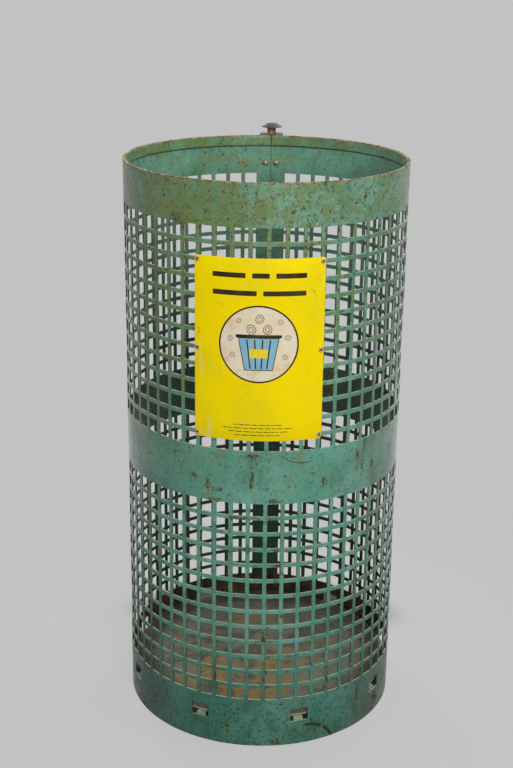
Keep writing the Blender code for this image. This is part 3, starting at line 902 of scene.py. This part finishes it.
def make_hoops(paint):
    outer = INNER_R - 0.00005
    half_gap = HOOP_HALF_GAP / outer
    spans = {
        "rim_hoop_short": (-math.pi + half_gap, HOOP_JOINT_TURN - half_gap),
        "rim_hoop_long": (HOOP_JOINT_TURN + half_gap, math.pi - half_gap),
    }
    for name, (start, end) in spans.items():
        steps = max(8, round((end - start) / math.radians(1.8)))
        bm = rolled(even(start, end, steps), even(HOOP_LOW.z, DRUM_H, 4), outer)
        mesh = smooth(applied(mesh_from(bm, name), sheet_settings(HOOP_T), bevel_settings(0.0007, 3)))
        new_piece(name + "_bar", mesh, [paint], replaces=[name])


def make_floor(paint):
    """The floor plate: a disc that has sagged and pitted, with a worn edge."""
    bm = bmesh.new()
    radius, top = FLOOR_HIGH.x, FLOOR_HIGH.z
    flat_radius = radius - 0.0006
    steps, sides = 26, 160
    rings = []
    for step in range(1, steps + 1):
        reach = flat_radius * step / steps
        points = []
        for x, y in circle(reach, sides):
            sag = 0.0006 * noise.noise(Vector((x * 14, y * 14, 3.1)))
            sag += 0.0003 * noise.noise(Vector((x * 60, y * 60, 8.7)))
            sag = sag * (1 - (reach / radius) ** 6) * 0.8
            points.append(bm.verts.new((x, y + AXIS_Y, top - 0.0007 + sag)))
        rings.append(points)
    middle = bm.verts.new((0, AXIS_Y, top - 0.0008))
    edge = ((radius - 0.0001, top - 0.0007), (radius, top - 0.0012), (radius, top - 0.0026))
    for reach, height in (*edge, (flat_radius, FLOOR_LOW.z)):
        rings.append(ring(bm, reach, height, sides, 0, AXIS_Y))
    bridge(bm, rings, around=True)
    for side in range(sides):
        bm.faces.new((middle, rings[0][side], rings[0][(side + 1) % sides]))
    bm.faces.new(list(reversed(rings[-1])))
    bmesh.ops.recalc_face_normals(bm, faces=bm.faces)
    mesh = smooth(mesh_from(bm, "floor_disc"))
    new_piece("floor_disc", mesh, [paint], body="floor", replaces=["floor_plate"])


# ---------------------------------------------------------------- the sign


def on_sign(x, z, radius):
    """A point on the sign, x across from its middle and z up from its middle."""
    return spot(x / SIGN_PLATE_R, radius, SIGN_MIDDLE_Z + z)


def make_sign_plate(paint, back_paint):
    bm = bmesh.new()
    across = even(-SIGN_W / 2, SIGN_W / 2, 36)
    left, right = even(across[0], across[1], 4)[:-1], even(across[-2], across[-1], 4)[1:]
    across = left + across[1:-1] + right

    def top_at(x):
        inset = max(0.0, abs(x) - (SIGN_W / 2 - SIGN_CORNER))
        return SIGN_H / 2 - (SIGN_CORNER - math.sqrt(max(0.0, SIGN_CORNER ** 2 - inset ** 2)))

    rows = [[-top_at(x) for x in across]]
    rows += [[level] * len(across) for level in even(-SIGN_H / 2, SIGN_H / 2, 10)[1:-1]]
    rows += [[top_at(x) for x in across]]
    bridge(bm, [[bm.verts.new(on_sign(x, z, SIGN_PLATE_R)) for x, z in zip(across, row)] for row in rows])
    mesh = smooth(applied(mesh_from(bm, "sign"), sheet_settings(SIGN_T), bevel_settings(0.00018, 2)), 45)
    new_piece("sign_panel", mesh, [paint, back_paint], replaces=["sign_plate"])
    for face in mesh.polygons:
        face.material_index = int(face.normal.y > 0.5)


def printed(name, shapes, paint, layer=0):
    """Flat shapes printed on the sign, each a list of loops of (x, z): an outline, then cut-outs."""
    radius = SIGN_PLATE_R + PRINT_T * (0.25 + layer * 0.20)
    bm = bmesh.new()
    for loops in shapes:
        fill_shape(bm, loops, radius)
    new_piece(name, mesh_from(bm, name), [paint])


def fill_shape(bm, loops, radius):
    """Fill one outline (with its cut-outs) as a flat curve, then bend the result onto the sign."""
    curve = bpy.data.curves.new("outline", "CURVE")
    curve.dimensions = "2D"
    curve.fill_mode = "BOTH"
    for loop in loops:
        spline = curve.splines.new("POLY")
        spline.points.add(len(loop) - 1)
        for point, (x, z) in zip(spline.points, loop):
            point.co = (x, z, 0, 1)
        spline.use_cyclic_u = True
    part = bmesh.new()
    part.from_mesh(evaluated(new_object("outline", curve)))
    bmesh.ops.remove_doubles(part, verts=part.verts, dist=1e-6)
    low = min(vert.co.x for vert in part.verts)
    high = max(vert.co.x for vert in part.verts)
    cut = math.ceil(low / PRINT_FACET) * PRINT_FACET
    while cut < high:
        geometry = part.verts[:] + part.edges[:] + part.faces[:]
        bmesh.ops.bisect_plane(part, geom=geometry, plane_co=(cut, 0, 0), plane_no=(1, 0, 0), dist=1e-7)
        cut += PRINT_FACET
    bmesh.ops.remove_doubles(part, verts=part.verts, dist=5e-6)
    bmesh.ops.dissolve_degenerate(part, dist=5e-6, edges=part.edges)
    for face in part.faces:
        if face.normal.z < 0:
            face.normal_flip()
    corners = {vert: bm.verts.new(on_sign(vert.co.x, vert.co.y, radius)) for vert in part.verts}
    for face in part.faces:
        bm.faces.new([corners[vert] for vert in face.verts])
    part.free()


def block(x, z, width, height, corner=0.0008):
    """A rectangle with round corners, centred on x, z."""
    points = []
    for quarter, (sx, sz) in enumerate(((1, 1), (-1, 1), (-1, -1), (1, -1))):
        cx, cz = x + sx * (width / 2 - corner), z + sz * (height / 2 - corner)
        for step in range(4):
            angle = math.radians(90 * quarter + 30 * step)
            points.append((cx + corner * math.cos(angle), cz + corner * math.sin(angle)))
    return points


def make_sign_art():
    """Generic art: dark bars in place of words, and a plain basket with paper scraps in a disc."""
    ink = print_ink("dark_ink", PRINT, (0.10, 0.075, 0.02))
    cream = print_ink("cream_ink", (0.710, 0.640, 0.490), (0.640, 0.440, 0.220), 0.51)
    blue = print_ink("blue_ink", (0.180, 0.400, 0.520), (0.330, 0.480, 0.520))
    gold = print_ink("gold_ink", (0.760, 0.600, 0.015), (0.600, 0.460, 0.030))
    brown = print_ink("brown_ink", (0.110, 0.070, 0.040), (0.300, 0.200, 0.110), 0.58)

    bars = []
    gap = 0.009
    for z, widths in ((0.1087, (0.047, 0.024, 0.043)), (0.0837, (0.062, 0.060))):
        x = -(sum(widths) + gap * (len(widths) - 1)) / 2
        for width in widths:
            bars.append([block(x + width / 2, z, width, 0.0072)])
            x += width + gap
    printed("sign_title_bars", bars, ink)

    rng = random.Random(3)
    lines = []
    for row, width in enumerate((0.070, 0.100, 0.084, 0.066)):
        x = -width / 2
        z = -0.1087 - row * 0.0052
        while x < width / 2 - 0.004:
            word = min(rng.uniform(0.004, 0.012), width / 2 - x)
            lines.append([block(x + word / 2, z, word, 0.0011, 0.0003)])
            x += word + 0.0016
    printed("sign_small_bars", lines, ink)

    centre = 0.0105
    disc = circle(DISC_R - DISC_RING_W, 96, 0, centre)
    printed("sign_disc", [[disc]], cream)
    printed("sign_disc_ring", [[circle(DISC_R, 96, 0, centre), disc]], ink)

    def basket(shrink, top, bottom):
        """A tapered basket outline between two levels, narrower by shrink."""
        corners = []
        for side, z in ((-1, top), (-1, bottom), (1, bottom), (1, top)):
            half = 0.0200 + (z + 0.038) * 0.19 - shrink
            corners.append((side * half, z + centre))
        return corners

    low, high = -0.038, 0.010
    printed("sign_basket", [[basket(0, high, low), basket(0.0012, high - 0.0012, low + 0.0012)]], ink, 2)
    printed("sign_basket_body", [[basket(0.0008, high - 0.0008, low + 0.0008)]], blue, 1)
    slats = []
    half = 0.0010
    foot_z, top_z = low + 0.003 + centre, high - 0.003 + centre
    for share in (-0.6, -0.2, 0.2, 0.6):
        foot, top = 0.0195 * share, 0.0275 * share
        lower = [(foot - half, foot_z), (foot + half, foot_z)]
        slats.append([lower + [(top + half, top_z), (top - half, top_z)]])
    printed("sign_basket_slats", slats, ink, 2)
    printed("sign_basket_label", [[block(0, -0.0130 + centre, 0.0260, 0.0130, 0.002)]], gold, 3)
    printed("sign_basket_rim", [[block(0, high + centre + 0.0018, 0.0650, 0.0048, 0.0022)]], ink, 2)

    def scrap(x, z, size, ragged):
        """A torn piece of paper: a circle with each of its corners pulled in by its own share."""
        corners = []
        for index, share in enumerate(ragged):
            angle = 2 * math.pi * index / len(ragged)
            corners.append((x + size * share * math.cos(angle), centre + z + size * share * math.sin(angle)))
        return corners

    scraps = []
    for x, z, size in (
        (-0.011, 0.021, 0.0085), (0.012, 0.022, 0.0080), (0.001, 0.037, 0.0070), (-0.040, 0.008, 0.0050),
        (0.041, 0.010, 0.0052), (-0.037, -0.016, 0.0046), (0.037, -0.018, 0.0048),
        (0.030, 0.033, 0.0044), (-0.028, 0.034, 0.0046),
    ):
        ragged = [rng.uniform(0.72, 1.0) for _ in range(9)]
        for outline, cut_out in ((1.0, 0.83), (0.55, 0.40)):
            scraps.append([scrap(x, z, size * scale, ragged) for scale in (outline, cut_out)])
    printed("sign_scraps", scraps, brown, 1)


# ---------------------------------------------------------------- rivets, bracket and stud


def make_sign_rivets():
    alloy = metal("rivet_alloy", *ALLOY, (0.45, 0.70), 0.15, 700, 0.0001)
    stem_paint = metal("rivet_stem", *STEM_STEEL, (0.7, 0.9), 0.1, 900, 0.0002)
    face = SIGN_PLATE_R + 0.0002
    tail = INNER_R - 0.0001
    sleeve = [
        (0.00135, face + 0.0001), (0.0019, face + 0.00015), (0.0020, face + 0.0011), (0.0023, face + 0.0013),
        (0.0033, face + 0.00105), (0.0039, face + 0.0005), (0.0039, face), (0.0020, face),
        (0.0020, tail), (0.0029, tail - 0.0004), (0.0031, tail - 0.0012), (0.0028, tail - 0.0021),
        (0.0018, tail - 0.0027), (0.00135, tail - 0.0027),
    ]
    stem = [
        (0, face + 0.0007), (0.0011, face + 0.0006), (0.0017, face + 0.0004), (0.0017, face + 0.0002),
        (0.00105, face + 0.00018), (0.00105, tail - 0.0029),
        (0.0017, tail - 0.0030), (0.0019, tail - 0.0034), (0.0010, tail - 0.0037), (0, tail - 0.0037),
    ]
    names = [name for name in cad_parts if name.startswith("sign_rivet_") and "stem" not in name]
    for name in sorted(names):
        level = name.removeprefix("sign_rivet_")
        low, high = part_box(name)
        middle = (low + high) / 2
        side = 1 if middle.x > 0 else -1
        place = outward(side * SIGN_RIVET_COLUMN * PITCH_TURN, middle.z)
        mesh = smooth(placed(turned(name, sleeve, 32, closed=True), place))
        new_piece(name + "_ring", mesh, [alloy], replaces=[name])
        mesh = smooth(placed(turned(level, stem, 24), place))
        covers = ["sign_rivet_stem_" + level]
        new_piece("rivet_stem_" + level, mesh, [stem_paint], replaces=covers)


def make_bracket(paint):
    """The bent bracket: a leg shaped to the drum, an inside bend, and a level leg with round corners."""
    low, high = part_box("stud_bracket")
    width = high.x - low.x
    edge = high.y - AXIS_Y
    wall = DRUM_R + 0.0001
    path = [(wall, low.z), (wall, low.z + 0.004)]
    path += [(wall, z) for z in even(low.z + 0.008, high.z - BRACKET_T - BRACKET_BEND, 5)]
    for step in range(1, 6):
        angle = math.radians(90 * step / 5)
        reach = wall + BRACKET_BEND * (1 - math.cos(angle))
        path.append((reach, high.z - BRACKET_BEND + BRACKET_BEND * math.sin(angle)))
    path += [(reach, high.z) for reach in even(wall + BRACKET_BEND + 0.002, edge, 6)]
    bm = bmesh.new()
    rows = []
    for radius, z in path:
        level_share = min(1.0, max(0.0, (radius - wall) / BRACKET_BEND))
        from_end = min(z - low.z, 1.0) if level_share < 0.5 else edge - radius
        cut_in = max(0.0, BRACKET_CORNER - from_end)
        inset = BRACKET_CORNER - math.sqrt(max(0.0, BRACKET_CORNER ** 2 - cut_in ** 2))
        row = []
        for lane in even(-1, 1, 12):
            x = lane * (width / 2 - inset)
            fall = (wall - math.sqrt(wall ** 2 - x ** 2)) * (1 - level_share)
            row.append(bm.verts.new((x, AXIS_Y + radius - fall, z)))
        rows.append(row)
    bridge(bm, rows)
    bmesh.ops.recalc_face_normals(bm, faces=bm.faces)
    bm.normal_update()
    if sum(face.normal.y for face in bm.faces if abs(face.normal.y) > 0.9) > 0:
        bmesh.ops.reverse_faces(bm, faces=bm.faces)
    mesh = applied(mesh_from(bm, "bracket"), sheet_settings(BRACKET_T), bevel_settings(0.0004, 2))
    weld(mesh)
    new_piece("bracket_plate", smooth(mesh), [paint], replaces=["stud_bracket"])


def make_bracket_rivets(paint):
    steps = 7

    def cap(base, top):
        angles = [math.radians(90 * index / steps) for index in range(steps + 1)]
        return [(RIVET_HEAD_R * math.sin(angle), base + (top - base) * math.cos(angle)) for angle in angles]

    inner, outer = INNER_R - 0.0001, DRUM_R + 0.0027
    for name in ("bracket_rivet_left", "bracket_rivet_right"):
        low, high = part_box(name)
        middle = (low + high) / 2
        profile = cap(outer, high.y - AXIS_Y) + [(RIVET_SHANK_R, outer), (RIVET_SHANK_R, inner)]
        profile += list(reversed(cap(inner, low.y - AXIS_Y)))
        place = Matrix.Translation((middle.x, AXIS_Y, middle.z)) @ Matrix.Rotation(math.radians(-90), 4, "X")
        mesh = smooth(placed(turned(name, profile, 36), place))
        new_piece(name + "_body", mesh, [paint], replaces=[name])


def make_stud(head_paint, neck_paint):
    low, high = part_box("lid_stud")
    x, y = (low.x + high.x) / 2, (low.y + high.y) / 2
    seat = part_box("stud_bracket")[1].z
    head_r = (high.x - low.x) / 2
    lip = high.z - HEAD_H
    head = [
        (0, high.z), (0.0060, high.z - 0.00005), (0.0090, high.z - 0.0003), (0.0099, high.z - 0.0008),
        (0.0125, high.z - 0.0024), (0.0160, high.z - 0.0045), (head_r - 0.0002, lip + 0.0009),
        (head_r, lip + 0.0004), (head_r - 0.0002, lip), (NECK_R + 0.002, lip + 0.0003),
    ]
    neck = [
        (NECK_R + 0.0006, lip - 0.0001), (NECK_R, lip - 0.0012), (NECK_R - 0.0005, lip - 0.004),
        (NECK_R - 0.0006, seat + 0.004), (NECK_R - 0.0001, seat + 0.0015), (NECK_R + 0.0007, seat + 0.0004),
        (NECK_R + 0.0007, seat + 0.0001), (SHANK_R, seat + 0.0001), (SHANK_R, low.z + 0.0006),
        (SHANK_R - 0.0005, low.z), (0, low.z),
    ]
    mesh = smooth(turned("lid_stud", head + neck, 40), 40)
    mesh = placed(mesh, Matrix.Translation((x, y, 0)))
    new_piece("stud_body", mesh, [head_paint, neck_paint], replaces=["lid_stud"])
    for face in mesh.polygons:
        face.material_index = int(face.center.z <= lip - 0.00005)


def make_nut_and_washer(paint):
    low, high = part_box("stud_lock_washer")
    x, y = (low.x + high.x) / 2, (low.y + high.y) / 2
    radius = (high.x - low.x) / 2
    section = [
        (BORE_R, high.z), (radius - 0.0003, high.z), (radius, high.z - 0.0003), (radius, low.z + 0.0003),
        (radius - 0.0003, low.z), (BORE_R, low.z),
    ]
    mesh = placed(turned("washer", section, 40, closed=True), Matrix.Translation((x, y, 0)))
    new_piece("lock_washer_ring", smooth(mesh, 40), [paint], replaces=["stud_lock_washer"])

    low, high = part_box("stud_nut")
    flat = (high.x - low.x) / 2
    slope = NUT_CHAMFER * 0.6
    bm = bmesh.new()
    sides = 36
    rings = []
    for z, pull in ((high.z, NUT_CHAMFER), (high.z - slope, 0), (low.z + slope, 0), (low.z, NUT_CHAMFER)):
        points = []
        for side in range(sides):
            angle = 2 * math.pi * side / sides
            from_flat = angle % math.radians(60) - math.radians(30)
            reach = min(flat / math.cos(from_flat), flat / math.cos(math.radians(30)) - pull)
            points.append(bm.verts.new((x + reach * math.cos(angle), y + reach * math.sin(angle), z)))
        rings.append(points)
    rings += [ring(bm, BORE_R, z, sides, x, y) for z in (low.z, high.z)]
    bridge(bm, rings + rings[:1], around=True)
    bmesh.ops.recalc_face_normals(bm, faces=bm.faces)
    mesh = smooth(mesh_from(bm, "nut"), 35)
    new_piece("hex_nut", mesh, [paint], replaces=["stud_nut"])


# ---------------------------------------------------------------- stage

BACKDROP = (0.539, 0.539, 0.539)
STUDIO_MATT = (0.62, 0.62, 0.62)
AMBIENT = 0.16
CAMERA_LENS = 63.44
CAMERA_SENSOR = 36
CAMERA_DISTANCE = 2.0067  # from the drum's axis, on the ground plan
CAMERA_HEIGHT = 1.2059
CAMERA_TURN = math.radians(1.965)
CAMERA_HEADING = math.radians(2.272)
CAMERA_PITCH = math.radians(18.942)
CAMERA_ROLL = math.radians(0.695)
# Each area light's name, place, the point it is aimed at, its size and its power in watts.
LIGHTS = (
    ("key", (0.7, -2.9, 1.75), (0, 0, 0.42), (1.5, 1.3), 92),
    ("top", (0.3, 0.2, 2.9), (0, 0, 0.8), (1.2, 1.2), 15),
    ("left", (-1.5, -0.1, 1.9), (0, 0, 0.85), (0.6, 0.9), 6),
    ("right", (1.5, -0.1, 1.9), (0, 0, 0.85), (0.6, 0.9), 6),
    ("edge_left", (-1.35, 2.6, 1.80), (0, 0, 0.75), (1.0, 1.3), 46),
    ("edge_right", (1.50, 2.5, 1.80), (0, 0, 0.75), (1.0, 1.3), 28),
    ("sweep_left", (-1.10, 1.60, 0.01), (-1.10, 1.60, 1.0), (1.5, 2.6), 4.5),
    ("sweep_right", (1.10, 1.60, 0.01), (1.10, 1.60, 1.0), (1.5, 2.6), 5),
)


def make_camera():
    lens = bpy.data.cameras.new("camera")
    lens.lens = CAMERA_LENS
    lens.sensor_width = CAMERA_SENSOR
    camera = new_object("camera", lens)
    look = Matrix.Rotation(CAMERA_HEADING, 4, "Z")
    look = look @ Matrix.Rotation(math.radians(90) - CAMERA_PITCH, 4, "X")
    look = look @ Matrix.Rotation(CAMERA_ROLL, 4, "Z")
    camera.matrix_world = Matrix.Translation(spot(CAMERA_TURN, CAMERA_DISTANCE, CAMERA_HEIGHT)) @ look
    bpy.context.scene.camera = camera


def make_lights():
    for name, place, aim, size, power in LIGHTS:
        light = bpy.data.lights.new(name, "AREA")
        light.shape = "RECTANGLE"
        light.size, light.size_y = size
        light.energy = power
        made = new_object(name, light)
        made.location = place
        made.rotation_euler = (Vector(aim) - Vector(place)).to_track_quat("-Z", "Y").to_euler()
        made.visible_camera = False


def make_stage():
    bm = bmesh.new()
    bmesh.ops.create_grid(bm, x_segments=1, y_segments=1, size=30)
    floor = new_object("studio_floor", mesh_from(bm, "studio_floor"))
    floor.location = (0, 0, -0.0005)
    floor.data.materials.append(studio_grey("studio_floor", 0.18))
    bm = bmesh.new()
    bmesh.ops.create_icosphere(bm, subdivisions=4, radius=30)
    dome = new_object("studio_dome", mesh_from(bm, "studio_dome"))
    dome.data.materials.append(studio_grey("studio_dome", 0))
    for backdrop in (floor, dome):
        backdrop.visible_diffuse = False
    dome.visible_shadow = False

    world = bpy.data.worlds.new("studio")
    world.use_nodes = True
    inputs = world.node_tree.nodes["Background"].inputs
    inputs["Color"].default_value = (*BACKDROP, 1)
    inputs["Strength"].default_value = AMBIENT
    bpy.context.scene.world = world
    bpy.context.scene.view_settings.view_transform = "Standard"


def main():
    make_camera()
    zones = enumerate(PAINT_ZONES)
    drum_paints = [weathered_paint(f"drum_paint_{index}", zone=zone) for index, zone in zones]
    hoop_paint = weathered_paint("hoop_paint", moss=2.6, rust=1.2)
    make_drum(drum_paints, cut_edge())
    make_seam(weathered_paint("seam_paint", moss=2.0, rust=1.4, dark=0.55))
    make_hoops(hoop_paint)
    make_floor(rusty_floor())
    sign_back = metal("sign_back", *SIGN_BACK, (0.5, 0.8), 0.1, 90)
    make_sign_plate(sign_enamel(), sign_back)
    make_sign_art()
    make_sign_rivets()
    make_bracket(weathered_paint("bracket_paint", moss=0.8, rust=1.2, dark=0.84, rimmed=False))
    make_bracket_rivets(metal("rivet_worn", *WORN_RIVET, (0.40, 0.65), 0.25, 300))
    rusty = metal("stud_rust", *STUD_RUST, (0.60, 0.85), 0.25, 400, 0.0003)
    make_stud(metal("stud_head_paint", *STUD_HEAD, (0.45, 0.7), 0.0, 350), rusty)
    make_nut_and_washer(rusty)
    make_stage()
    make_lights()


main()
